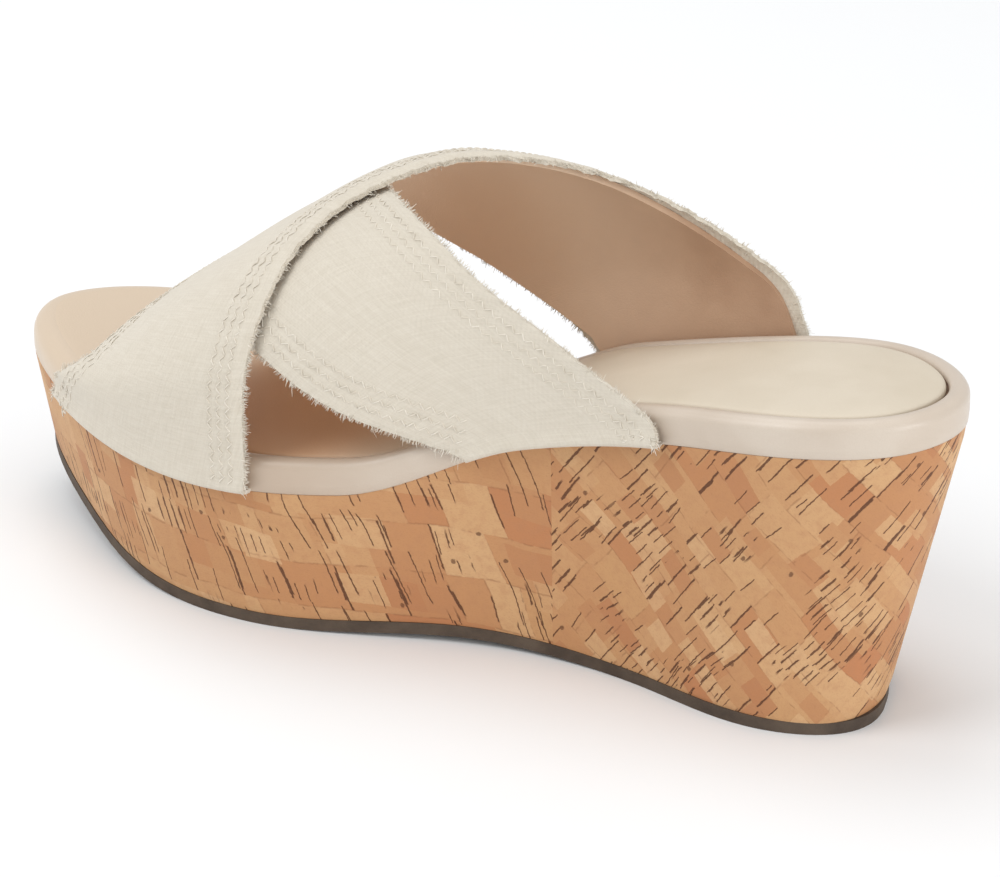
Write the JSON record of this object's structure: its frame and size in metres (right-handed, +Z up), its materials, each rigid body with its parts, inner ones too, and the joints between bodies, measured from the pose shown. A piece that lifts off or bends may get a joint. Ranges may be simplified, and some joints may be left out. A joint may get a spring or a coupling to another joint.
{
  "type": "wedge sandal",
  "caption": "Left slip-on wedge sandal with two crossed raw-edged canvas straps over a leather-look footbed on a cork-covered wedge.",
  "frame": {"origin": "centre of the bounding box seen from above, at the floor that the sole stands on", "axes": "+X from heel to toe, +Y to the wearer's left, which is the outer side of this left sandal, +Z up"},
  "size_m": [0.2505, 0.0962, 0.1052],
  "materials": {
    "outsole_rubber": "matte",
    "core_foam": "matte",
    "cork": "satin",
    "filler_felt": "matte",
    "shank_steel": "satin",
    "board_card": "matte",
    "footbed_foam": "matte",
    "sock_leather": "satin",
    "rand_leather": "satin",
    "canvas": "matte",
    "interlining": "matte",
    "lining_leather": "satin"
  },
  "bodies": {
    "root": {"outsole": "outsole_rubber", "wedge_core": "core_foam", "cork_heel": "cork", "cork_front": "cork", "bottom_filler": "filler_felt", "steel_shank": "shank_steel", "shank_rivets": "shank_steel", "insole_board": "board_card", "footbed_foam": "footbed_foam", "sock_lining": "sock_leather", "footbed_rand": "rand_leather", "upper_canvas": "canvas", "upper_interlining": "interlining", "upper_lining": "lining_leather", "lower_canvas": "canvas", "lower_interlining": "interlining", "lower_lining": "lining_leather"}
  },
  "joints": []
}
